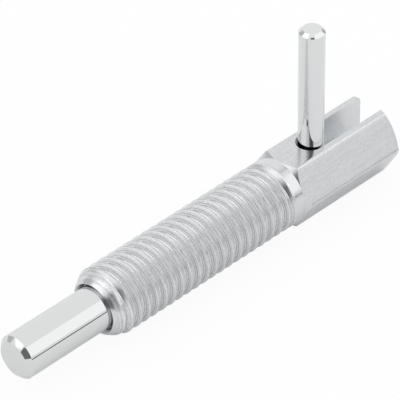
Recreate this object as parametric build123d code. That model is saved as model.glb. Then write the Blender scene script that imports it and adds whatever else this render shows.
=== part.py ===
from build123d import *
import math
import os

# Indexing plunger with a slotted hexagon and a straight pull handle.
# The row's X axis is the plunger's axis, the locking nose points to -X and the handle to +Z.
# The origin is on the axis, in the front face that the nose comes out of. Millimetres.

# Hexagon bar that the body is turned from
across_flats = 12.65
corner_round = 0.6
hex_length = 23.4
front_chamfer_angle = 50.0
rear_chamfer_angle = 30.0
rear_chamfer_inset = 0.15

# Barrel, which carries the outside thread and a short plain collar
barrel_length = 43.7
turning_allowance = 0.015
rim_width = 0.1
bevel_width = 0.45
lead_angle = 30.0

# Locking nose, its guide land and the spindle behind it, turned as one piece
nose_d = 7.9
nose_chamfer = 0.8
nose_sink = 0.15
guide_step = 0.25
guide_start = 1.0
guide_length = 13.0
spindle_d = 4.54
tail_past_handle = 3.6
tail_chamfer = 0.4
land_chamfer = 0.2

# Fits inside the body
running_gap = 0.03
mouth_gap = 0.6
mouth_depth = 1.2
web = 7.4

# Handle pin and the slot that it travels in
handle_d = 4.6
handle_top = 29.8
handle_chamfer = 0.65
slot_play = 0.25
slot_length = 18.2
rest_gap = 0.5
clear_of_end = 0.1
spigot_d = 2.6
spigot_chamfer = 0.3
spigot_recess = 0.37
seat_depth = 1.07
seat_play = 0.1

# Compression spring
wire_d = 0.8
wire_sides = 8
active_turns = 8
ground_share = 0.3

# How far a cutter runs past the face that it opens
overrun = 1.0

# Places along the axis
rear_x = barrel_length + hex_length
slot_end_x = rear_x - slot_length
handle_x = slot_end_x + rest_gap + handle_d / 2
chamber_end_x = slot_end_x - web
stroke = rear_x + handle_d / 2 + clear_of_end - handle_x
tip_x = nose_sink - stroke
land_end_x = guide_start + guide_length
tail_x = handle_x + tail_past_handle

# Radii about the axis
barrel_r = across_flats / 2 - turning_allowance
nose_r = nose_d / 2
guide_r = nose_r + guide_step
bore_r = guide_r + running_gap
mouth_r = nose_r + mouth_gap
spindle_r = spindle_d / 2
tail_bore_r = spindle_r + running_gap
corner_r = across_flats / math.sqrt(3)

# Slot and the handle's seat on the spindle
slot_width = handle_d + 2 * slot_play
seat_z = spindle_r - seat_depth
spigot_end_z = spigot_recess - spindle_r


def turned(points):
    """A solid turned about the X axis from (x, radius) points, closed along the axis."""
    outline = [(points[0][0], 0), *points, (points[-1][0], 0)]
    face = make_face(Plane.XZ * Polyline(*outline, close=True))
    return revolve(face, Axis.X)


def barrel():
    """The threaded barrel at its major diameter, with the bevelled and tapered front."""
    rim_r = mouth_r + rim_width
    bevel_r = rim_r + bevel_width
    lead_x = bevel_width + (barrel_r - bevel_r) / math.tan(math.radians(lead_angle))
    return turned(
        [
            (0, rim_r),
            (bevel_width, bevel_r),
            (lead_x, barrel_r),
            (barrel_length, barrel_r),
        ]
    )


def hexagon():
    """The hexagon with its flat on top, rounded along its corners and chamfered at both ends."""
    section = RegularPolygon(corner_r, 6)
    section = fillet(section.vertices(), corner_round)
    bar = extrude(Plane(origin=(barrel_length, 0, 0), x_dir=(0, 1, 0), z_dir=(1, 0, 0)) * section, hex_length)
    front_run = (corner_r - barrel_r) / math.tan(math.radians(front_chamfer_angle))
    rear_r = across_flats / 2 - rear_chamfer_inset
    rear_run = (corner_r - rear_r) * math.tan(math.radians(rear_chamfer_angle))
    envelope = turned(
        [
            (barrel_length, barrel_r),
            (barrel_length + front_run, corner_r),
            (rear_x - rear_run, corner_r),
            (rear_x, rear_r),
        ]
    )
    return bar & envelope


def bore():
    """The relieved mouth, the guide and spring chamber, and the tail bore right through the web."""
    return turned(
        [
            (-overrun, mouth_r),
            (mouth_depth, mouth_r),
            (mouth_depth, bore_r),
            (chamber_end_x, bore_r),
            (chamber_end_x, tail_bore_r),
            (rear_x + overrun, tail_bore_r),
        ]
    )


def slot():
    """The handle's slot: round at its closed end, open at the top and the rear, down to the axis."""
    end_centre_x = slot_end_x + slot_width / 2
    run = rear_x + overrun - end_centre_x
    outline = Pos(end_centre_x, 0) * Circle(slot_width / 2)
    outline += Pos(end_centre_x + run / 2, 0) * Rectangle(run, slot_width)
    return extrude(outline, across_flats)


def body():
    """The sleeve, turned and milled from one bar."""
    return barrel() + hexagon() - bore() - slot()


def index_pin():
    """Locking nose, guide land and spindle in one, with the handle's flat seat and cross hole."""
    blank = turned(
        [
            (tip_x, nose_r - nose_chamfer),
            (tip_x + nose_chamfer, nose_r),
            (guide_start, nose_r),
            (guide_start, guide_r - land_chamfer),
            (guide_start + land_chamfer, guide_r),
            (land_end_x, guide_r),
            (land_end_x, spindle_r),
            (tail_x - tail_chamfer, spindle_r),
            (tail_x, spindle_r - tail_chamfer),
        ]
    )
    seat_length = handle_d + 2 * seat_play
    seat = Pos(handle_x, 0, seat_z + seat_depth) * Box(seat_length, spindle_d + overrun, 2 * seat_depth)
    cross_hole = Pos(handle_x, 0, 0) * Cylinder(spigot_d / 2, spindle_d + overrun)
    return blank - seat - cross_hole


def handle_pin():
    """Straight handle with a chamfered top and a thinner spigot that is pressed into the spindle."""
    spigot_r = spigot_d / 2
    handle_r = handle_d / 2
    outline = [
        (0, spigot_end_z),
        (spigot_r - spigot_chamfer, spigot_end_z),
        (spigot_r, spigot_end_z + spigot_chamfer),
        (spigot_r, seat_z),
        (handle_r, seat_z),
        (handle_r, handle_top - handle_chamfer),
        (handle_r - handle_chamfer, handle_top),
        (0, handle_top),
    ]
    return Pos(handle_x, 0, 0) * revolve(make_face(Plane.XZ * Polyline(*outline, close=True)), Axis.Z)


def spring():
    """Compression spring between the guide land and the web, with closed ends ground flat.

    The wire is drawn with wire_sides flats, so that its many turns stay light.
    """
    mean_r = (bore_r + spindle_r) / 2
    inset = wire_d * (0.5 - ground_share)
    start_x = land_end_x + inset
    length = chamber_end_x - inset - start_x
    wire = RegularPolygon(wire_d / 2, wire_sides)
    path = Wire([Edge.make_helix(length / active_turns, length, mean_r, (start_x, 0, 0), (1, 0, 0))])
    coils = sweep(Plane(origin=path @ 0, z_dir=path % 0) * wire, path=path, is_frenet=True)
    end_wire = RegularPolygon(wire_d / 2, wire_sides, rotation=180 / wire_sides)
    for x in (start_x, start_x + length):
        coils += revolve(Plane.XZ * Pos(x, mean_r) * end_wire, Axis.X)
    gap = chamber_end_x - land_end_x
    between_seats = Pos(land_end_x + gap / 2, 0, 0) * Box(gap, across_flats, across_flats)
    return coils & between_seats


os.makedirs("parts", exist_ok=True)
export_step(body(), "parts/body.step")
export_step(index_pin(), "parts/index_pin.step")
export_step(handle_pin(), "parts/handle_pin.step")
export_step(spring(), "parts/spring.step")
print(f"stroke {stroke:.2f} mm, nose reach {-tip_x:.2f} mm, handle axis at x = {handle_x:.2f} mm")
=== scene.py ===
import math

import bmesh
import bpy
import numpy as np
from bpy.props import FloatProperty, FloatVectorProperty, IntProperty, PointerProperty
from mathutils import Matrix, Vector


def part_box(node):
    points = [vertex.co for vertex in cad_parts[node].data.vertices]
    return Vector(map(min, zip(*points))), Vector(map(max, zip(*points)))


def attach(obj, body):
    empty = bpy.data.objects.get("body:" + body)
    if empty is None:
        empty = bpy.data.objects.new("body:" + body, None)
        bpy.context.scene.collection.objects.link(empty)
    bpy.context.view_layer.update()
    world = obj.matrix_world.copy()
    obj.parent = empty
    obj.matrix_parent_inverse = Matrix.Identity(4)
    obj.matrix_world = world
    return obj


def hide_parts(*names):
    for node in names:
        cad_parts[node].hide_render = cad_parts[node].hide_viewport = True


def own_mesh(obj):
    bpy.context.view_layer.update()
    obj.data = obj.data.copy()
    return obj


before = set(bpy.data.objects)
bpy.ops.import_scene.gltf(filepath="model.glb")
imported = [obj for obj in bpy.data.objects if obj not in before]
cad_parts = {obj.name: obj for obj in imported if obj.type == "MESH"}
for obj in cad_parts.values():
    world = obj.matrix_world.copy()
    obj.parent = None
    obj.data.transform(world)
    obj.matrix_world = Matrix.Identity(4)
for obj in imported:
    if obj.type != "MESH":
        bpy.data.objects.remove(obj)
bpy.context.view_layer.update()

bl_info = {
    "name": "Indexing plunger",
    "version": (1, 0, 0),
    "blender": (4, 5, 0),
    "location": "View3D > Sidebar > Plunger",
    "description": "Plated plunger with a threaded sleeve, a slotted hexagon and a pull handle",
    "category": "Add Mesh",
}

MM = 0.001
WELD = 1e-7
SHARP_ANGLE = math.radians(32)

BODY_LOW, BODY_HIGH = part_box("body")
PIN_LOW, PIN_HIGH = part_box("index_pin")
HANDLE_LOW, HANDLE_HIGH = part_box("handle_pin")
SPRING_LOW, SPRING_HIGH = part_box("spring")


def length(name, description, default):
    """A length property in metres."""
    return FloatProperty(name=name, description=description, default=default, unit="LENGTH", precision=5)


def share(name, description, default):
    """A property that is a part of a whole."""
    return FloatProperty(name=name, description=description, default=default, subtype="FACTOR", min=0, max=2)


def colour(name, description, default):
    """A colour property."""
    return FloatVectorProperty(
        name=name, description=description, default=default, subtype="COLOR", size=3, min=0, max=1
    )


class SleeveSizes(bpy.types.PropertyGroup):
    """Sizes of the sleeve: thread, collar, hexagon, slot and bores."""

    across_flats: length("Across flats", "Hexagon across its flats", BODY_HIGH.z - BODY_LOW.z)
    rear: length("Rear face", "Where the hexagon ends", BODY_HIGH.x)
    hexagon_length: length("Hexagon length", "Length of the hexagon", 23.4 * MM)
    corner_round: length("Corner round", "Radius along the hexagon's corners", 0.6 * MM)
    edge_break: length("Edge break", "Rounding of the slot's and the hexagon's edges", 0.07 * MM)
    break_start: length("Break start", "How far behind the collar the rounding begins", 1.2 * MM)
    barrel_radius: length("Barrel radius", "Major radius of the thread", 6.31 * MM)
    front_slope: FloatProperty(
        name="Front slope", description="Slope of the hexagon's front chamfer",
        default=math.radians(50), subtype="ANGLE",
    )
    rear_slope: FloatProperty(
        name="Rear slope", description="Slope of the hexagon's rear chamfer",
        default=math.radians(30), subtype="ANGLE",
    )
    rear_inset: length("Rear inset", "How far the rear chamfer runs in past the flats", 0.15 * MM)
    slot_width: length("Slot width", "Width of the handle's slot", 5.1 * MM)
    slot_length: length("Slot length", "Length of the slot from the rear face", 18.2 * MM)
    mouth_radius: length("Mouth radius", "Countersink at the front face", 4.55 * MM)
    mouth_depth: length("Mouth depth", "Depth of the countersink", 0.44 * MM)
    bore_radius: length("Bore radius", "Bore that the plunger runs in", 4.23 * MM)
    bore_end: length("Bore end", "Where the bore meets its shoulder", 41.5 * MM)
    tail_bore_radius: length("Tail bore radius", "Bore that the spindle runs in", 2.3 * MM)
    rim_radius: length("Rim radius", "Outer edge of the front face", 4.65 * MM)
    bevel_radius: length("Bevel radius", "Outer edge of the front bevel", 5.1 * MM)
    bevel_depth: length("Bevel depth", "Where the front bevel ends", 0.45 * MM)
    lead_slope: FloatProperty(
        name="Lead slope", description="Slope of the cone behind the bevel",
        default=math.radians(30), subtype="ANGLE",
    )
    pitch: length("Pitch", "Axial distance from crest to crest", 1.954 * MM)
    first_crest: length("First crest", "Where the crest line passes the +Y side", 2.12 * MM)
    thread_depth: length("Thread depth", "From crest to root", 1.1 * MM)
    thread_start: length("Thread start", "Where the first groove begins", 1.3 * MM)
    thread_end: length("Thread end", "Where the last groove has run out", 41.8 * MM)


class PlungerSizes(bpy.types.PropertyGroup):
    """Sizes of the plunger: nose, guide land and spindle, and the pull handle."""

    tip: length("Tip", "Front end of the nose", PIN_LOW.x)
    tail: length("Tail", "Rear end of the spindle", PIN_HIGH.x)
    nose_radius: length("Nose radius", "Radius of the locking nose", 3.95 * MM)
    nose_chamfer: length("Nose chamfer", "Chamfer at the nose's tip", 0.8 * MM)
    land_radius: length("Land radius", "Radius of the guide land", PIN_HIGH.z)
    land_start: length("Land start", "Where the guide land begins", 1.0 * MM)
    land_end: length("Land end", "Where the guide land ends", 14.0 * MM)
    land_chamfer: length("Land chamfer", "Chamfer of the guide land", 0.2 * MM)
    spindle_radius: length("Spindle radius", "Radius of the spindle", 2.27 * MM)
    tail_chamfer: length("Tail chamfer", "Chamfer at the spindle's end", 0.4 * MM)
    seat_height: length("Seat height", "Height of the handle's seat over the axis", 1.2 * MM)
    seat_play: length("Seat play", "Room on each side of the handle on its seat", 0.1 * MM)
    handle_radius: length("Handle radius", "Radius of the handle", (HANDLE_HIGH.x - HANDLE_LOW.x) / 2)
    handle_place: length(
        "Handle place", "Where the handle stands on the axis", (HANDLE_HIGH.x + HANDLE_LOW.x) / 2
    )
    handle_top: length("Handle top", "Top of the handle", HANDLE_HIGH.z)
    handle_chamfer: length("Handle chamfer", "Chamfer at the handle's top", 0.65 * MM)
    spigot_end: length("Spigot end", "Lower end of the handle's spigot", HANDLE_LOW.z)
    spigot_radius: length("Spigot radius", "Radius of the spigot in the spindle", 1.3 * MM)
    spigot_chamfer: length("Spigot chamfer", "Chamfer at the spigot's end", 0.3 * MM)
    edge_round: length("Edge round", "Rounding of the turned edges", 0.06 * MM)


class SpringSizes(bpy.types.PropertyGroup):
    """Sizes of the compression spring."""

    front: length("Front seat", "Seat on the guide land", SPRING_LOW.x)
    rear: length("Rear seat", "Seat on the bore's shoulder", SPRING_HIGH.x)
    coil_radius: length("Coil radius", "Radius of the wire's centre line", 3.25 * MM)
    wire: length("Wire", "Diameter of the wire", 0.8 * MM)
    turns: IntProperty(name="Working turns", description="Turns between the closed ends", default=8, min=1)


class Finishes(bpy.types.PropertyGroup):
    """Colours and surface finishes."""

    plating: colour("Plating", "Zinc plating on the sleeve", (0.700, 0.712, 0.722))
    flat_plating: colour("Flat plating", "Duller plating on the drawn flats", (0.690, 0.701, 0.710))
    # The thread's plating is painted brighter than the rest: painted light that offsets the shade between
    # its flanks, so the colour between its painted shade lines stands as highlights.
    lit_thread_plating: colour("Thread plating", "Brighter plating on the thread", (0.870, 0.880, 0.890))
    # How much the lines along the thread darken its colour: painted shade lines in place of the thread's
    # dark reflections and the shade in its grooves.
    thread_painted_shade_lines: share("Thread lines", "How dark the chased lines on the thread are", 0.38)
    thread_speckle: share("Thread speckle", "How dark the grain between them is", 0.18)
    flat_lines: share("Flat lines", "How dark the drawn lines on the flats are", 0.04)
    flat_speckle: share("Flat speckle", "How dark the grain on the flats is", 0.10)
    ground: colour("Ground steel", "Polished nose and handle", (0.715, 0.725, 0.728))
    # The handle's steel is the ground steel painted brighter: painted light that offsets the shaded floor it
    # mirrors.
    handle: colour("Handle steel", "Brighter ground steel of the handle", (0.740, 0.750, 0.753))
    wire: colour("Spring wire", "Drawn spring wire", (0.42, 0.42, 0.42))
    thread_roughness: share("Thread roughness", "Roughness of the thread", 0.30)
    flat_roughness: share("Flat roughness", "Roughness of the hexagon's flats", 0.20)
    slot_roughness: share("Slot roughness", "Roughness of the milled slot", 0.24)
    ground_roughness: share("Ground roughness", "Roughness of the polished steel", 0.05)


class Studio(bpy.types.PropertyGroup):
    """Backdrop, light and camera."""

    room: share("Room", "Brightness of the white room", 1.0)
    floor: share("Floor", "How much of the floor shows as plain white", 0.93)
    mirrored_floor: share("Mirrored floor", "How much of it does so in the metal", 0.2)
    key: share("Key", "Brightness of the soft boxes above and on the left", 1.38)
    right_key: share("Right key", "Brightness of the soft box on the right", 1.2144)
    dim_strip: share("Dim strip", "Brightness of the strip under it", 0.95)
    gap: share("Gap", "Brightness of the dark gaps between the soft boxes", 0.055)
    front_gap: share("Front gap", "Brightness of the dark gap before the nose", 0.176)
    left_gap: share("Left gap", "Brightness of the grey gap on the left", 0.6)
    back_gap: share("Back gap", "Brightness of the grey gap behind", 0.45)
    floor_reach: length("Floor reach", "From the middle of the floor to its edges", 6000 * MM)
    focal: FloatProperty(
        name="Focal length", description="Camera's focal length", default=270.882, subtype="DISTANCE_CAMERA"
    )
    distance: length("Distance", "From the camera to the handle's foot, along the view", 520.77 * MM)
    azimuth: FloatProperty(
        name="Azimuth", description="Turn of the view from +X", default=math.radians(45.486), subtype="ANGLE"
    )
    elevation: FloatProperty(
        name="Elevation", description="How steeply the view looks down",
        default=math.radians(37.974), subtype="ANGLE",
    )
    roll: FloatProperty(
        name="Roll", description="Roll of the camera", default=math.radians(-0.944), subtype="ANGLE"
    )
    handle_column: FloatProperty(
        name="Handle column", default=310.43,
        description="Column of the 400 pixel picture where the handle's foot is",
    )
    handle_row: FloatProperty(
        name="Handle row", default=170.25,
        description="Row of the 400 pixel picture where the handle's foot is",
    )


class Skin:
    """Grids of points that are welded where they meet into one closed surface."""

    def __init__(self):
        self.points = []
        self.quads = []
        self.finishes = []
        self.count = 0

    def add_points(self, points, quads, finish):
        """Add points of shape (n, 3) and quads that index them."""
        self.points.append(points)
        self.quads.append(quads + self.count)
        self.finishes.append(np.full(len(quads), finish, dtype=np.int32))
        self.count += len(points)

    def grid(self, points, finish=0):
        """Add a grid of shape (rows, columns, 3), one quad between each four neighbours."""
        rows, columns = points.shape[:2]
        index = np.arange(rows * columns).reshape(rows, columns)
        corners = [index[:-1, :-1], index[:-1, 1:], index[1:, 1:], index[1:, :-1]]
        self.add_points(points.reshape(-1, 3), np.stack(corners, axis=-1).reshape(-1, 4), finish)

    def stitch(self, first, first_places, second, second_places, finish=0):
        """Join two curves of unlike numbers of points with triangles.

        Both curves' points are sorted by their place along the strip. Each point after the start
        moves its own curve on by one, and makes a triangle with the point that the other is at.
        """
        n, m = len(first), len(second)
        places = np.concatenate([first_places[1:], second_places[1:]])
        from_first = np.concatenate([np.ones(n - 1, dtype=int), np.zeros(m - 1, dtype=int)])
        order = np.argsort(places, kind="stable")
        step = from_first[order]
        at_first = np.cumsum(step)
        at_second = np.cumsum(1 - step)
        before_first = at_first - step
        before_second = at_second - (1 - step)
        moved = np.where(step == 1, at_first, n + at_second)
        quads = np.stack([before_first, n + before_second, moved, moved], axis=-1)
        self.add_points(np.concatenate([first, second]), quads, finish)

    def make(self, name, materials):
        """Weld the grids, drop what collapsed, turn the faces outwards and return the object."""
        points = np.concatenate(self.points)
        quads = np.concatenate(self.quads)
        finishes = np.concatenate(self.finishes)
        keys = np.round(points / WELD).astype(np.int64)
        _, first, same = np.unique(keys, axis=0, return_index=True, return_inverse=True)
        quads = same.reshape(-1)[quads]
        doubled = quads == np.roll(quads, -1, axis=1)
        doubles = doubled.sum(axis=1)
        whole = quads[doubles == 0]
        cut = quads[doubles == 1][~doubled[doubles == 1]].reshape(-1, 3)
        mesh = bpy.data.meshes.new(name)
        mesh.from_pydata(points[first].tolist(), [], whole.tolist() + cut.tolist())
        mesh.polygons.foreach_set(
            "material_index", np.concatenate([finishes[doubles == 0], finishes[doubles == 1]])
        )
        work = bmesh.new()
        work.from_mesh(mesh)
        bmesh.ops.recalc_face_normals(work, faces=work.faces)
        open_edges = sum(len(edge.link_faces) != 2 for edge in work.edges)
        work.to_mesh(mesh)
        work.free()
        if open_edges:
            raise RuntimeError(f"{name} has {open_edges} open edges")
        for material in materials:
            mesh.materials.append(material)
        piece = bpy.data.objects.new(name, mesh)
        bpy.context.scene.collection.objects.link(piece)
        smooth(piece)
        return piece


def smooth(piece):
    """Shade the piece smooth, apart from the edges that are sharper than the angle given above."""
    mesh = piece.data
    mesh.polygons.foreach_set("use_smooth", np.ones(len(mesh.polygons), dtype=bool))
    mesh.set_sharp_from_angle(angle=SHARP_ANGLE)


def between(start, end, steps):
    """Rows that run evenly from one curve to another: start + (end - start) * t, t from 0 to 1."""
    t = np.linspace(0, 1, steps + 1)[:, None, None]
    return start[None] * (1 - t) + end[None] * t


def ring(x, radius, angles):
    """Points (x, radius cos a, radius sin a) of a circle about the X axis."""
    x, radius, angles = np.broadcast_arrays(x, radius, angles)
    return np.stack([x, radius * np.cos(angles), radius * np.sin(angles)], axis=-1)


def polar(points):
    """Unwrapped angle of each point about the X axis, from +Y towards +Z."""
    return np.unwrap(np.arctan2(points[:, 2], points[:, 1]))


def rounded(profile, radius, steps=4):
    """Round each inner corner of an open profile with a small arc.

    A corner between unit directions a and b, which turn by the angle w, is left at the distance
    radius tan(w / 2) before it and met again as far behind it. The arc between is a quadratic
    curve through the corner's tangents, which is close to round for a small arc.
    """
    corner = profile[1:-1]
    into = corner - profile[:-2]
    out = profile[2:] - corner
    into_length = np.linalg.norm(into, axis=1, keepdims=True)
    out_length = np.linalg.norm(out, axis=1, keepdims=True)
    a = into / into_length
    b = out / out_length
    turn = np.arccos(np.clip((a * b).sum(axis=1, keepdims=True), -1, 1))
    room = 0.4 * np.minimum(into_length, out_length)
    cut = np.minimum(radius * np.tan(turn / 2), room)
    start = corner - a * cut
    end = corner + b * cut
    t = np.linspace(0, 1, steps + 1)[None, :, None]
    arcs = start[:, None] * (1 - t) ** 2 + corner[:, None] * 2 * t * (1 - t) + end[:, None] * t ** 2
    return np.concatenate([profile[:1], arcs.reshape(-1, 2), profile[-1:]])


def turned(skin, profile, angles, finish=0):
    """Turn a profile of (x, radius) points about the X axis: one row a point, one column an angle."""
    skin.grid(ring(profile[:, :1], profile[:, 1:], angles[None]), finish)


ARC_STEPS = 6
FLAT_STEPS = 20
LENGTH_STEPS = 10


def hexagon_outline(size):
    """Points of the rounded hexagon from the top flat's -Y end, round its underside, and back.

    Each corner k is an arc about a centre on the corner's direction, and each flat is divided
    evenly. Returns the (y, z) points with the first one repeated at the end.
    """
    corner = size.across_flats / math.sqrt(3)
    centre = corner - size.corner_round / math.cos(math.radians(30))
    direction = np.radians(120 + 60 * np.arange(6))[:, None]
    turn = np.radians(np.linspace(-30, 30, ARC_STEPS + 1))[None]
    arcs = np.stack(
        [
            centre * np.cos(direction) + size.corner_round * np.cos(direction + turn),
            centre * np.sin(direction) + size.corner_round * np.sin(direction + turn),
        ],
        axis=-1,
    )
    t = np.linspace(0, 1, FLAT_STEPS + 1)[None, 1:-1, None]
    ends = np.roll(arcs[:, 0], -1, axis=0)
    flats = arcs[:, -1:] * (1 - t) + ends[:, None] * t
    loop = np.concatenate([arcs, flats], axis=1).reshape(-1, 2)
    return np.concatenate([loop, loop[:1]])


def thread_radius(size, x, turn):
    """Radius of the threaded barrel at x, where turn is the angle round the axis in turns.

    The envelope is the bevel's edge, the lead cone and the major radius. The groove is cut from it
    by a soft trapezoid of the phase (x - first_crest) / pitch - turn: flat at the crest, straight
    on the 60 degree flanks, and round in the root. Its depth grows behind the lead cone, and runs
    out before the collar.
    """
    lead_cone = size.bevel_radius + np.maximum(x - size.bevel_depth, 0) * math.tan(size.lead_slope)
    envelope = np.minimum(lead_cone, size.barrel_radius)
    phase = (x - size.first_crest) / size.pitch - turn
    aside = np.abs(phase - np.round(phase))
    crest_share = 1 / 16
    crest_soft = 0.03 * MM
    root_soft = 0.09 * MM
    raw = (aside - crest_share) * size.pitch / math.tan(math.radians(30))
    over = crest_soft * np.logaddexp(0, raw / crest_soft)
    under = root_soft * np.logaddexp(0, (raw - size.thread_depth) / root_soft)
    groove = over - under
    lead = np.clip((x - size.thread_start) / size.pitch, 0, 1)
    run_out = np.clip((size.thread_end - x) / size.pitch, 0, 1)
    fade = lead * lead * (3 - 2 * lead) * run_out * run_out * (3 - 2 * run_out)
    return envelope - groove * fade


def thread_rows(size):
    """Rows of the thread's grid, in turns, closer together where its section bends."""
    aside = np.array([0, 0.045, 0.0625, 0.08, 0.12, 0.19, 0.27, 0.34, 0.39, 0.44, 0.5])
    one = np.concatenate([-aside[:0:-1], aside[:-1]])
    turns = math.ceil(size.thread_end / size.pitch) + 4
    return (np.arange(turns)[:, None] - 3 + one[None]).reshape(-1)


def barrel_skin(skin, size, angles):
    """The threaded barrel, its collar and its front: a grid that follows the helix.

    Row v and angle a lie at x = first_crest + pitch (v + a / full turn), held between the bevel's
    edge and the collar. So each row runs along the thread, and the rows that are held at an end
    fall together there.
    """
    turn = angles / (2 * math.pi)
    rows = thread_rows(size)
    x = size.first_crest + size.pitch * (rows[:, None] + turn[None])
    x = np.clip(x, size.bevel_depth, size.thread_end)
    radius = thread_radius(size, x, np.broadcast_to(turn[None], x.shape))
    skin.grid(ring(x, radius, np.broadcast_to(angles[None], x.shape)), 0)
    collar_end = size.rear - size.hexagon_length
    collar = np.array([[size.thread_end, size.barrel_radius], [collar_end, size.barrel_radius]])
    turned(skin, collar, angles, 1)
    front = np.array(
        [
            [size.bevel_depth, size.bevel_radius],
            [0, size.rim_radius],
            [0, size.mouth_radius],
            [size.mouth_depth, size.bore_radius],
            [size.bore_end, size.bore_radius],
        ]
    )
    turned(skin, front[:3], angles, 2)
    turned(skin, front[2:], angles, 4)


def hexagon_skin(skin, size, outline, angles):
    """The hexagon, its two conical chamfers, the U slot and the tail bore, down to the shoulder.

    The flats run between the lines where each chamfer cone meets them: a point at the radius r is
    met by the front cone at (r - barrel radius) / tan(front slope) behind the collar, and by the
    rear cone at (r - rear radius) tan(rear slope) before the rear face.
    """
    front = size.rear - size.hexagon_length
    rear_radius = size.across_flats / 2 - size.rear_inset
    half_width = size.slot_width / 2
    radius = np.linalg.norm(outline, axis=1)
    front_x = front + (radius - size.barrel_radius) / math.tan(size.front_slope)
    rear_x = size.rear - (radius - rear_radius) * math.tan(size.rear_slope)
    front_line = np.column_stack([front_x, outline])
    rear_line = np.column_stack([rear_x, outline])
    skirt = len(outline) - FLAT_STEPS
    skin.grid(between(ring(front, size.barrel_radius, angles), front_line, 1), 2)
    skin.grid(between(front_line[:skirt], rear_line[:skirt], LENGTH_STEPS), 3)

    # Slot in plan: straight sides and a round closed end, from the rear at -Y to the rear at +Y
    top = size.across_flats / 2
    end_centre = size.rear - size.slot_length + half_width
    arch = math.asin(size.tail_bore_radius / half_width)
    quarter = math.pi / 2
    bends = FLAT_STEPS - 4
    inner = np.linspace(-arch, arch, bends + 1)
    around = np.concatenate([[-quarter, -(quarter + arch) / 2], inner, [(quarter + arch) / 2, quarter]])
    lip_radius = math.hypot(half_width, top)
    lip_x = size.rear - (lip_radius - rear_radius) * math.tan(size.rear_slope)
    chamfer_z = math.sqrt(rear_radius ** 2 - half_width ** 2)
    t = np.linspace(1, 0, LENGTH_STEPS + 1)

    def slot_line(rear, height):
        """The slot's outline at one height, with its straight sides running to rear."""
        straight = end_centre + (rear - end_centre) * t
        x = np.concatenate([straight[:-1], end_centre - half_width * np.cos(around), straight[-2::-1]])
        y = np.concatenate(
            [
                np.full(LENGTH_STEPS, -half_width),
                half_width * np.sin(around),
                np.full(LENGTH_STEPS, half_width),
            ]
        )
        return np.column_stack([x, y, np.broadcast_to(height, x.shape)])

    lip = slot_line(lip_x, top)
    left = between(front_line[:1], rear_line[:1], LENGTH_STEPS)[::-1, 0]
    right = between(front_line[skirt - 1:skirt], rear_line[skirt - 1:skirt], LENGTH_STEPS)[:, 0]
    front_edge = front_line[skirt - 1:][::-1]
    rim = np.concatenate([left[:-1], front_edge, right[1:]])
    skin.grid(between(rim, lip, 1), 3)

    # Walls of the slot, whose closed end is opened by the upper half of the tail bore
    low = slot_line(size.rear, 0.0)
    arched = np.sqrt(np.maximum(size.tail_bore_radius ** 2 - low[:, 1] ** 2, 0))
    low[:, 2] = arched
    mid = slot_line(size.rear, chamfer_z)
    skin.grid(np.stack([lip, mid]), 4)
    skin.grid(between(mid, low, 4), 4)

    # Rear chamfer and rear face
    rear_ring = ring(size.rear, rear_radius, angles[:skirt])
    corner_left = np.array([[size.rear, -half_width, chamfer_z]])
    corner_right = np.array([[size.rear, half_width, chamfer_z]])
    outer = np.concatenate([lip[:1], rear_line[:skirt], lip[-1:]])
    inner_edge = np.concatenate([corner_left, rear_ring, corner_right])
    skin.grid(between(outer, inner_edge, 1), 2)
    trough = np.linspace(math.pi, 2 * math.pi, bends + 1)
    trough_edge = ring(size.rear, size.tail_bore_radius, trough)
    side = between(mid[:1], low[:1], 4)[:, 0]
    other_side = between(mid[-1:], low[-1:], 4)[::-1, 0]
    inner_path = np.concatenate([side, trough_edge, other_side])
    skin.stitch(inner_edge, polar(inner_edge), inner_path, polar(inner_path), 2)

    # Floor of the slot on each side of the trough, and the tail bore
    floor_left = low[: LENGTH_STEPS + 3]
    floor_right = low[-(LENGTH_STEPS + 3):]
    edge_left = floor_left.copy()
    edge_left[:, 1] = -size.tail_bore_radius
    edge_right = floor_right.copy()
    edge_right[:, 1] = size.tail_bore_radius
    skin.grid(np.stack([floor_left, edge_left]), 4)
    skin.grid(np.stack([floor_right, edge_right]), 4)
    bore_x = np.append(edge_left[:, 0], size.bore_end)
    skin.grid(ring(bore_x[:, None], size.tail_bore_radius, trough[None]), 4)
    arch_line = low[LENGTH_STEPS + 2: -(LENGTH_STEPS + 2)]
    arch_foot = arch_line.copy()
    arch_foot[:, 0] = size.bore_end
    skin.grid(np.stack([arch_foot, arch_line]), 4)

    # Shoulder between the chamber and the tail bore, from the -Y side all round
    eye = np.concatenate([ring(size.bore_end, size.tail_bore_radius, trough), arch_foot[-2::-1]])
    start = np.argmin(np.abs(angles - math.pi))
    round_again = np.concatenate([angles[start:-1], angles[: start + 1] + 2 * math.pi])
    chamber = ring(size.bore_end, size.bore_radius, round_again)
    skin.stitch(chamber, round_again, eye, polar(eye), 4)


def break_edges(piece, width, behind):
    """Round the sharp edges that lie behind a place on the axis with a small three-step bevel."""
    mesh = piece.data
    sharp = mesh.attributes["sharp_edge"]
    keep = np.zeros(len(mesh.edges), dtype=bool)
    sharp.data.foreach_get("value", keep)
    places = np.zeros(len(mesh.vertices) * 3, dtype=np.float32)
    mesh.vertices.foreach_get("co", places)
    ends = np.zeros(len(mesh.edges) * 2, dtype=np.int32)
    mesh.edges.foreach_get("vertices", ends)
    x = places.reshape(-1, 3)[:, 0][ends.reshape(-1, 2)]
    weight = (keep & (x.min(axis=1) > behind)).astype(np.float32)
    mesh.attributes.new("bevel_weight_edge", "FLOAT", "EDGE").data.foreach_set("value", weight)
    bevel = piece.modifiers.new("broken_edges", "BEVEL")
    bevel.width = width
    bevel.segments = 3
    bevel.limit_method = "WEIGHT"
    bevel.use_clamp_overlap = True
    bpy.context.view_layer.update()
    finished = bpy.data.meshes.new_from_object(piece.evaluated_get(bpy.context.evaluated_depsgraph_get()))
    finished.name = piece.name
    piece.modifiers.clear()
    piece.data = finished
    smooth(piece)


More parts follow.
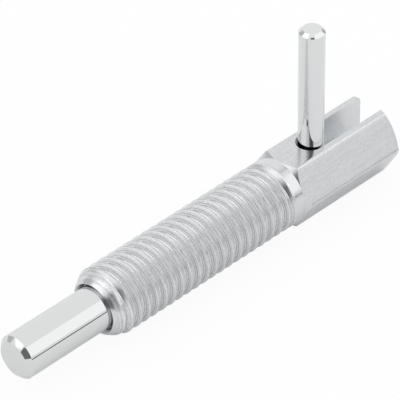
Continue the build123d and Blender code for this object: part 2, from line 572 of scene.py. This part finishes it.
def sleeve_skin(size):
    """The whole sleeve: barrel, front and bores, hexagon and slot, on one set of angles."""
    skin = Skin()
    outline = hexagon_outline(size)
    angles = polar(np.column_stack([outline[:, 0] * 0, outline]))
    barrel_skin(skin, size, angles)
    hexagon_skin(skin, size, outline, angles)
    return skin


def index_pin_skin(size):
    """Nose, guide land and spindle turned on X, with the flat seat and the cross hole.

    The angles run round the underside from one end of the seat's flat to the other, and then over
    the top, so the flat starts and ends on a column. The seat is that top part laid flat. The
    cross hole's rim is a circle in plan on the seat, and the same circle dropped on the underside,
    z = -sqrt(radius squared - y squared).
    """
    skin = Skin()
    radius = size.spindle_radius
    edge = math.asin(size.seat_height / radius)
    under = np.linspace(math.pi - edge, 2 * math.pi + edge, 73)
    over = np.linspace(2 * math.pi + edge, 3 * math.pi - edge, 31)
    angles = np.concatenate([under, over[1:]])
    half_seat = size.handle_radius + size.seat_play
    seat_front = size.handle_place - half_seat
    seat_rear = size.handle_place + half_seat
    nose = np.array(
        [
            [size.tip, 0],
            [size.tip, size.nose_radius - size.nose_chamfer],
            [size.tip + size.nose_chamfer, size.nose_radius],
            [size.land_start, size.nose_radius],
            [size.land_start, size.land_radius - size.land_chamfer],
            [size.land_start + size.land_chamfer, size.land_radius],
            [size.land_end, size.land_radius],
            [size.land_end, radius],
            [seat_front, radius],
        ]
    )
    tail = np.array(
        [
            [seat_rear, radius],
            [size.tail - size.tail_chamfer, radius],
            [size.tail, radius - size.tail_chamfer],
            [size.tail, 0],
        ]
    )
    turned(skin, rounded(nose, size.edge_round), angles)
    turned(skin, rounded(tail, size.edge_round), angles)

    # Step faces at both ends of the seat, from the round down to the flat
    seat_x = np.linspace(seat_front, seat_rear, 9)
    chord = np.column_stack([radius * np.cos(over), np.full(len(over), size.seat_height)])
    for x in (seat_front, seat_rear):
        arc = ring(x, radius, over)
        skin.grid(np.stack([arc, np.column_stack([arc[:, 0], chord])]))

    # Underside, with a patch round the cross hole between two of its columns
    first, last = 21, 51
    skin.grid(ring(seat_x[:, None], radius, under[None, : first + 1]))
    skin.grid(ring(seat_x[:, None], radius, under[None, last:]))

    def border(y):
        """The border of a patch in plan, once round from its front left corner."""
        front = np.column_stack([np.full(len(y), seat_front), y])
        rear = np.column_stack([np.full(len(y), seat_rear), y[::-1]])
        right = np.column_stack([seat_x, np.full(len(seat_x), y[-1])])
        left = np.column_stack([seat_x[::-1], np.full(len(seat_x), y[0])])
        return np.concatenate([front[:-1], right[:-1], rear[:-1], left])

    low_border = border(radius * np.cos(under[first: last + 1]))
    top_border = border(chord[::-1, 0])
    direction = np.arctan2(low_border[:, 1], low_border[:, 0] - size.handle_place)
    rim = np.column_stack(
        [size.handle_place + size.spigot_radius * np.cos(direction), size.spigot_radius * np.sin(direction)]
    )
    patch = between(low_border, rim, 5)
    depth = -np.sqrt(radius ** 2 - patch[..., 1:] ** 2)
    skin.grid(np.concatenate([patch, depth], axis=-1))
    flat = between(top_border, rim, 1)
    seat = np.full(flat.shape[:2] + (1,), size.seat_height)
    skin.grid(np.concatenate([flat, seat], axis=-1))
    high_rim = np.column_stack([rim, np.full(len(rim), size.seat_height)])
    low_rim = np.column_stack([rim, depth[-1]])
    skin.grid(between(high_rim, low_rim, 4))
    return skin


def handle_skin(size):
    """The handle turned on Z: x = place + r cos a, y = r sin a, from its spigot to its top."""
    skin = Skin()
    profile = np.array(
        [
            [0, size.spigot_end],
            [size.spigot_radius - size.spigot_chamfer, size.spigot_end],
            [size.spigot_radius, size.spigot_end + size.spigot_chamfer],
            [size.spigot_radius, size.seat_height],
            [size.handle_radius, size.seat_height],
            [size.handle_radius, size.handle_top - size.handle_chamfer],
            [size.handle_radius - size.handle_chamfer, size.handle_top],
            [0, size.handle_top],
        ]
    )
    profile = rounded(profile, size.edge_round)
    angles = np.linspace(0, 2 * math.pi, 97)[None]
    r, z = profile[:, :1], profile[:, 1:]
    x, y, z = np.broadcast_arrays(size.handle_place + r * np.cos(angles), r * np.sin(angles), z)
    skin.grid(np.stack([x, y, z], axis=-1))
    return skin


def spring_skin(size):
    """A round wire carried along a helix, with a closed turn at each end ground flat on its seat.

    The centre line is (x(t), coil radius cos a, coil radius sin a). Its pitch is one wire in the
    end turns and even between them, blended over half a turn. Each ring lies across the line, and
    x is held between the seats, which grinds the ends.
    """
    skin = Skin()
    per_turn = 40
    total = size.turns + 2
    t = np.linspace(0, total, total * per_turn + 1)
    closed = 1.0
    ease = np.clip(np.minimum(t - closed, total - closed - t) / 0.5, 0, 1)
    ease = ease * ease * (3 - 2 * ease)
    inset = 0.2 * size.wire
    run = size.rear - size.front - 2 * inset
    climb = np.concatenate([[0], np.cumsum((ease[1:] + ease[:-1]) / 2)]) / per_turn
    open_pitch = (run - size.wire * total) / climb[-1]
    x = size.front + inset + size.wire * t + open_pitch * climb
    angle = 2 * math.pi * t
    centre = ring(x, size.coil_radius, angle)
    along = np.gradient(centre, axis=0)
    along /= np.linalg.norm(along, axis=1, keepdims=True)
    outward = ring(0.0, 1.0, angle)
    across = np.cross(along, outward)
    section = np.linspace(0, 2 * math.pi, 17)
    radius = np.full(len(t), size.wire / 2)
    tube = (
        centre[:, None]
        + radius[:, None, None] * np.cos(section)[None, :, None] * outward[:, None]
        + radius[:, None, None] * np.sin(section)[None, :, None] * across[:, None]
    )
    caps = [np.broadcast_to(centre[end], tube[0].shape)[None] for end in (0, -1)]
    tube = np.concatenate([caps[0], tube, caps[1]])
    tube[..., 0] = np.clip(tube[..., 0], size.front, size.rear)
    skin.grid(tube)
    return skin


def add(tree, kind, links=(), **values):
    """Add a node: values set its properties or unlinked sockets, links are (socket, output) pairs."""
    node = tree.nodes.new(kind)
    for name, value in values.items():
        if name in node.bl_rna.properties:
            setattr(node, name, value)
        else:
            node.inputs[name.replace("_", " ")].default_value = value
    for socket, output in links:
        tree.links.new(output, node.inputs[socket])
    return node


def blank_material(name):
    """A material with an empty node tree and its output node."""
    material = bpy.data.materials.new(name)
    material.use_nodes = True
    material.node_tree.nodes.clear()
    output = material.node_tree.nodes.new("ShaderNodeOutputMaterial")
    return material, material.node_tree, output


LINE_NOISE = (0.4, 0.56)
GRAIN_NOISE = (0.35, 0.6)


def kept_share(tree, noise, span, loss):
    """The share of the colour that is kept: 1 - loss below the span of the noise, and 1 above it."""
    share_node = add(
        tree, "ShaderNodeMapRange", [("Value", noise)],
        From_Min=span[0], From_Max=span[1], To_Min=1 - loss, To_Max=1.0,
    )
    return share_node.outputs["Result"]


def steel(name, base, roughness, spread, grain, grain_size, marks=None, lines=0, speckle=0):
    """Bare or plated steel: a metal with a fine grain, and marks that a tool left.

    Roughness runs between roughness - spread and roughness + spread over a slow noise. grain is
    the height of a noise of grain_size. marks gives a height field and its height as
    (builder, height), which is added over the grain. lines says how much of the colour the
    deepest marks lose, and speckle how much the grain takes away. On the thread, that darkening
    along the marks is painted shade: dark lines along the helix in place of dark reflections,
    with the brighter colour between them as painted highlights. On the flats it is drawn lines.
    """
    material, tree, output = blank_material(name)
    place = add(tree, "ShaderNodeTexCoord").outputs["Object"]
    slow = add(tree, "ShaderNodeTexNoise", [("Vector", place)], Scale=0.35 / MM, Detail=3.0)
    rough = add(
        tree, "ShaderNodeMapRange", [("Value", slow.outputs["Fac"])],
        From_Min=0.3, From_Max=0.7, To_Min=roughness - spread, To_Max=roughness + spread,
    )
    fine = add(tree, "ShaderNodeTexNoise", [("Vector", place)], Scale=1 / grain_size, Detail=2.0)
    bump = add(tree, "ShaderNodeBump", [("Height", fine.outputs["Fac"])], Strength=1.0, Distance=grain)
    if marks:
        builder, height = marks
        field = builder(tree, place)
        bump = add(
            tree, "ShaderNodeBump", [("Height", field), ("Normal", bump.outputs["Normal"])],
            Strength=1.0, Distance=height,
        )
    shade = add(
        tree, "ShaderNodeBsdfPrincipled",
        [("Roughness", rough.outputs["Result"]), ("Normal", bump.outputs["Normal"])],
        Base_Color=(*base, 1), Metallic=1.0,
    )
    # Colour darkened along the marks and in the grain. On the thread, the darkening along the marks is
    # painted shade, and the colour left between them is a painted highlight.
    if lines or speckle:
        kept_by_marks_and_painted_shade = kept_share(tree, field, LINE_NOISE, lines)
        between_grains = kept_share(tree, fine.outputs["Fac"], GRAIN_NOISE, speckle)
        share_kept = maths(tree, "MULTIPLY", kept_by_marks_and_painted_shade, between_grains)
        tint_with_marks_and_shade = add(tree, "ShaderNodeVectorMath", [("Scale", share_kept)], operation="SCALE")
        tint_with_marks_and_shade.inputs[0].default_value = base
        tree.links.new(tint_with_marks_and_shade.outputs["Vector"], shade.inputs["Base Color"])
    tree.links.new(shade.outputs["BSDF"], output.inputs["Surface"])
    return material


def maths(tree, operation, first, second=None):
    """One step of arithmetic on outputs or numbers."""
    node = tree.nodes.new("ShaderNodeMath")
    node.operation = operation
    for socket, value in zip(node.inputs, (first, second)):
        if value is None:
            continue
        if isinstance(value, (int, float)):
            socket.default_value = value
        else:
            tree.links.new(value, socket)
    return node.outputs[0]


def chased_marks_and_painted_shade(pitch, first_crest, scale, choice):
    """Marks that follow the thread: a noise of the cosine and sine of the phase along the helix. It gives
    the thread's bumps, and the painted shade lines in its colour.

    choice is the third place in the noise, which gives the marks another pattern.
    """

    def build(tree, place):
        axes = add(tree, "ShaderNodeSeparateXYZ", [("Vector", place)]).outputs
        turn = maths(tree, "ARCTAN2", axes["Z"], axes["Y"])
        along = maths(tree, "MULTIPLY", maths(tree, "SUBTRACT", axes["X"], first_crest), 2 * math.pi / pitch)
        phase = maths(tree, "SUBTRACT", along, turn)
        loop = add(tree, "ShaderNodeCombineXYZ", Z=choice)
        tree.links.new(maths(tree, "COSINE", phase), loop.inputs["X"])
        tree.links.new(maths(tree, "SINE", phase), loop.inputs["Y"])
        noise = add(tree, "ShaderNodeTexNoise", [("Vector", loop.outputs[0])], Scale=scale, Detail=2.0)
        return noise.outputs["Fac"]

    return build


def turning_marks(size):
    """Rings round the X axis: a noise of the place along it."""

    def build(tree, place):
        axes = add(tree, "ShaderNodeSeparateXYZ", [("Vector", place)]).outputs
        noise = add(tree, "ShaderNodeTexNoise", noise_dimensions="1D", Scale=1 / size, Detail=2.0)
        tree.links.new(axes["X"], noise.inputs["W"])
        return noise.outputs["Fac"]

    return build


def drawn_marks(size):
    """Faint lines along the X axis, as a drawn bar has: a noise that is stretched along it."""

    def build(tree, place):
        stretched = add(tree, "ShaderNodeMapping", [("Vector", place)], Scale=(0.05, 1, 1))
        noise = add(
            tree, "ShaderNodeTexNoise", [("Vector", stretched.outputs["Vector"])], Scale=1 / size, Detail=2.0
        )
        return noise.outputs["Fac"]

    return build


def sleeve_materials(finish, size):
    """Finishes of the sleeve, in the order that its grids use."""
    plating = tuple(finish.plating)
    # The thread's finish paints shade lines along the helix into its colour, with the brighter colour
    # between them as painted highlights.
    thread = steel(
        "plated_thread_painted_shade", tuple(finish.lit_thread_plating), finish.thread_roughness, 0.05, 0.008 * MM, 0.25 * MM,
        (chased_marks_and_painted_shade(size.pitch, size.first_crest, 2.3, 2.6), 0.03 * MM),
        finish.thread_painted_shade_lines, finish.thread_speckle,
    )
    collar = steel(
        "plated_collar", plating, 0.2, 0.04, 0.002 * MM, 0.15 * MM, (turning_marks(0.25 * MM), 0.003 * MM)
    )
    cone = steel(
        "plated_chamfer", plating, 0.21, 0.04, 0.002 * MM, 0.15 * MM, (turning_marks(0.12 * MM), 0.003 * MM)
    )
    flat = steel(
        "plated_flat", tuple(finish.flat_plating), finish.flat_roughness, 0.04, 0.003 * MM, 0.25 * MM,
        (drawn_marks(0.3 * MM), 0.002 * MM), finish.flat_lines, finish.flat_speckle,
    )
    slot = steel("plated_slot", plating, finish.slot_roughness, 0.05, 0.003 * MM, 0.15 * MM)
    return [thread, collar, cone, flat, slot]


def sheet_of(name, points, material):
    """An open grid of points as an object, for the floor and the studio's cards."""
    rows, columns = points.shape[:2]
    index = np.arange(rows * columns).reshape(rows, columns)
    quads = np.stack([index[:-1, :-1], index[:-1, 1:], index[1:, 1:], index[1:, :-1]], axis=-1)
    mesh = bpy.data.meshes.new(name)
    mesh.from_pydata(points.reshape(-1, 3).tolist(), [], quads.reshape(-1, 4).tolist())
    mesh.materials.append(material)
    piece = bpy.data.objects.new(name, mesh)
    bpy.context.scene.collection.objects.link(piece)
    return piece


def seen(tree):
    """One for camera, glossy and transmission rays, and zero for the rest."""
    path = tree.nodes.new("ShaderNodeLightPath").outputs
    rays = maths(tree, "MAXIMUM", path["Is Camera Ray"], path["Is Glossy Ray"])
    return maths(tree, "MAXIMUM", rays, path["Is Transmission Ray"])


def floor_material(studio):
    """A pale floor that keeps the shadow, under a share of plain white for the rays that see it.

    The share is larger for the camera than for the metal, which mirrors the shaded floor below it.
    """
    material, tree, output = blank_material("pale_floor")
    matt = add(tree, "ShaderNodeBsdfDiffuse", Color=(0.9, 0.9, 0.9, 1))
    white = add(tree, "ShaderNodeEmission", Color=(1, 1, 1, 1), Strength=1.0)
    camera = add(tree, "ShaderNodeLightPath").outputs["Is Camera Ray"]
    mirrored = maths(tree, "MULTIPLY", seen(tree), studio.mirrored_floor)
    direct = maths(tree, "MULTIPLY", camera, studio.floor)
    mix = add(tree, "ShaderNodeMixShader", [("Fac", maths(tree, "MAXIMUM", mirrored, direct))])
    tree.links.new(matt.outputs[0], mix.inputs[1])
    tree.links.new(white.outputs[0], mix.inputs[2])
    tree.links.new(mix.outputs[0], output.inputs["Surface"])
    return material


def card_material(name, level):
    """A card of even brightness."""
    material, tree, output = blank_material(name)
    glow = add(tree, "ShaderNodeEmission", Color=(1, 1, 1, 1), Strength=level)
    tree.links.new(glow.outputs[0], output.inputs["Surface"])
    return material


CARD_DISTANCE = 2.5


def card(name, centre, azimuths, elevations, level):
    """A card on a sphere round the part, between two azimuths and two elevations in degrees.

    Its points are centre + distance (cos e cos a, cos e sin a, sin e). The camera doesn't see it.
    """
    a = np.radians(np.linspace(*azimuths, 25))[None]
    e = np.radians(np.linspace(*elevations, 13))[:, None]
    x, y, z = np.broadcast_arrays(np.cos(e) * np.cos(a), np.cos(e) * np.sin(a), np.sin(e))
    points = np.array(centre) + CARD_DISTANCE * np.stack([x, y, z], axis=-1)
    piece = sheet_of(name, points, card_material(name, level))
    piece.visible_camera = False
    piece.visible_shadow = False
    return piece


def light_world(studio):
    """An even white room round the part."""
    world = bpy.data.worlds.new("white_room")
    world.use_nodes = True
    tree = world.node_tree
    tree.nodes.clear()
    output = tree.nodes.new("ShaderNodeOutputWorld")
    plain = add(tree, "ShaderNodeBackground", Color=(1, 1, 1, 1), Strength=1.0)
    room = add(tree, "ShaderNodeBackground", Color=(1, 1, 1, 1), Strength=studio.room)
    mix = add(tree, "ShaderNodeMixShader", [("Fac", seen(tree))])
    tree.links.new(room.outputs[0], mix.inputs[1])
    tree.links.new(plain.outputs[0], mix.inputs[2])
    tree.links.new(mix.outputs[0], output.inputs["Surface"])
    bpy.context.scene.world = world


PICTURE_SIDE = 400
SENSOR = 36.0


def place_camera(studio, target):
    """The camera that sees the handle's foot at its column and row of the square picture.

    The view runs along (cos e cos a, cos e sin a, -sin e). The camera stands back from the foot by
    the distance, and aside by the foot's offset from the picture's centre at that distance.
    """
    a, e, roll = studio.azimuth, studio.elevation, studio.roll
    forward = np.array([math.cos(e) * math.cos(a), math.cos(e) * math.sin(a), -math.sin(e)])
    level = np.array([math.sin(a), -math.cos(a), 0.0])
    upright = np.array([math.sin(e) * math.cos(a), math.sin(e) * math.sin(a), math.cos(e)])
    right = math.cos(roll) * level + math.sin(roll) * upright
    up = math.cos(roll) * upright - math.sin(roll) * level
    pixel = studio.distance * SENSOR / studio.focal / PICTURE_SIDE
    aside = (studio.handle_column - PICTURE_SIDE / 2) * pixel
    above = (PICTURE_SIDE / 2 - studio.handle_row) * pixel
    eye = np.array(target) - aside * right - above * up - studio.distance * forward
    camera = bpy.data.objects.new("camera", bpy.data.cameras.new("camera"))
    camera.data.sensor_width = SENSOR
    camera.data.lens = studio.focal
    camera.data.clip_start = 0.01
    camera.data.clip_end = 100
    turn = Matrix(np.column_stack([right, up, -forward]).tolist()).to_4x4()
    camera.matrix_world = Matrix.Translation(Vector(eye)) @ turn
    bpy.context.scene.collection.objects.link(camera)
    bpy.context.scene.camera = camera


class PLUNGER_OT_threaded_sleeve(bpy.types.Operator):
    """Add the threaded sleeve with its slotted hexagon"""

    bl_idname = "plunger.threaded_sleeve"
    bl_label = "Threaded sleeve"

    def execute(self, context):
        size = context.scene.plunger_sleeve
        finish = context.scene.plunger_finishes
        piece = sleeve_skin(size).make("threaded_sleeve", sleeve_materials(finish, size))
        break_edges(piece, size.edge_break, size.rear - size.hexagon_length + size.break_start)
        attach(piece, "sleeve")
        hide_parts("body")
        return {"FINISHED"}


class PLUNGER_OT_locking_nose(bpy.types.Operator):
    """Add the locking nose with its guide land and spindle"""

    bl_idname = "plunger.locking_nose"
    bl_label = "Locking nose"

    def execute(self, context):
        finish = context.scene.plunger_finishes
        polished = steel(
            "polished_nose", tuple(finish.ground), finish.ground_roughness, 0.01, 0.0002 * MM, 0.3 * MM,
            (turning_marks(0.2 * MM), 0.0003 * MM),
        )
        piece = index_pin_skin(context.scene.plunger_plunger).make("locking_nose", [polished])
        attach(piece, "plunger")
        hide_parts("index_pin")
        return {"FINISHED"}


class PLUNGER_OT_pull_handle(bpy.types.Operator):
    """Add the pull handle that is pressed into the spindle"""

    bl_idname = "plunger.pull_handle"
    bl_label = "Pull handle"

    def execute(self, context):
        finish = context.scene.plunger_finishes
        # The handle's steel is the nose's ground steel painted brighter, as painted light.
        polished = steel(
            "polished_handle_painted_light", tuple(finish.handle), finish.ground_roughness, 0.01, 0.0002 * MM, 0.3 * MM
        )
        piece = handle_skin(context.scene.plunger_plunger).make("pull_handle", [polished])
        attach(piece, "plunger")
        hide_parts("handle_pin")
        return {"FINISHED"}


class PLUNGER_OT_return_spring(bpy.types.Operator):
    """Add the spring that pushes the nose out"""

    bl_idname = "plunger.return_spring"
    bl_label = "Return spring"

    def execute(self, context):
        size = context.scene.plunger_spring
        finish = context.scene.plunger_finishes
        wire = steel("drawn_wire", tuple(finish.wire), 0.28, 0.05, 0.001 * MM, 0.2 * MM)
        piece = spring_skin(size).make("return_spring", [wire])
        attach(piece, "sleeve")
        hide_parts("spring")
        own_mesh(piece)
        return {"FINISHED"}


class PLUNGER_OT_studio(bpy.types.Operator):
    """Add the floor, the soft light and the camera"""

    bl_idname = "plunger.studio"
    bl_label = "Studio"

    def execute(self, context):
        studio = context.scene.plunger_studio
        plunger = context.scene.plunger_plunger
        corners = np.array([-studio.floor_reach, studio.floor_reach])
        x, y = np.meshgrid(corners, corners)
        sheet_of("floor", np.stack([x, y, np.full(x.shape, BODY_LOW.z)], axis=-1), floor_material(studio))
        light_world(studio)
        centre = (BODY_HIGH.x / 2, 0, 0)
        card("dark_front", centre, (-172, -112), (-12, 33), studio.front_gap)
        card("dark_camera", centre, (-150, -113), (33, 53), studio.gap)
        card("dark_horizon", centre, (-112, -42), (-0.5, 4), studio.gap)
        card("dim_right", centre, (-108, -20), (5, 13), studio.dim_strip)
        card("soft_box_right", centre, (-108, -20), (14, 56), studio.right_key)
        card("soft_box_left", centre, (128, 184), (30, 70), studio.key)
        card("soft_box_top", centre, (-180, 180), (71, 90), studio.key)
        card("dark_left", centre, (92, 128), (2, 38), studio.left_gap)
        card("dark_back", centre, (-10, 8), (0, 16), studio.back_gap)
        place_camera(studio, (plunger.handle_place, 0, 0))
        context.scene.view_settings.view_transform = "Standard"
        return {"FINISHED"}


class PLUNGER_PT_panel(bpy.types.Panel):
    """Lists the plunger's pieces and their sizes"""

    bl_idname = "PLUNGER_PT_panel"
    bl_label = "Indexing plunger"
    bl_space_type = "VIEW_3D"
    bl_region_type = "UI"
    bl_category = "Plunger"

    def draw(self, context):
        for operator in OPERATORS:
            self.layout.operator(operator.bl_idname)
        for group in GROUPS:
            box = self.layout.box()
            for name in GROUPS[group].__annotations__:
                box.prop(getattr(context.scene, group), name)


GROUPS = {
    "plunger_sleeve": SleeveSizes,
    "plunger_plunger": PlungerSizes,
    "plunger_spring": SpringSizes,
    "plunger_finishes": Finishes,
    "plunger_studio": Studio,
}
OPERATORS = (
    PLUNGER_OT_threaded_sleeve,
    PLUNGER_OT_locking_nose,
    PLUNGER_OT_pull_handle,
    PLUNGER_OT_return_spring,
    PLUNGER_OT_studio,
)


def register():
    for kind in (*GROUPS.values(), *OPERATORS, PLUNGER_PT_panel):
        bpy.utils.register_class(kind)
    for group, kind in GROUPS.items():
        setattr(bpy.types.Scene, group, PointerProperty(type=kind))


def unregister():
    for group in GROUPS:
        delattr(bpy.types.Scene, group)
    for kind in reversed((*GROUPS.values(), *OPERATORS, PLUNGER_PT_panel)):
        bpy.utils.unregister_class(kind)


def main():
    register()
    bpy.ops.plunger.threaded_sleeve()
    bpy.ops.plunger.locking_nose()
    bpy.ops.plunger.pull_handle()
    bpy.ops.plunger.return_spring()
    bpy.ops.plunger.studio()


if __name__ == "__main__":
    main()
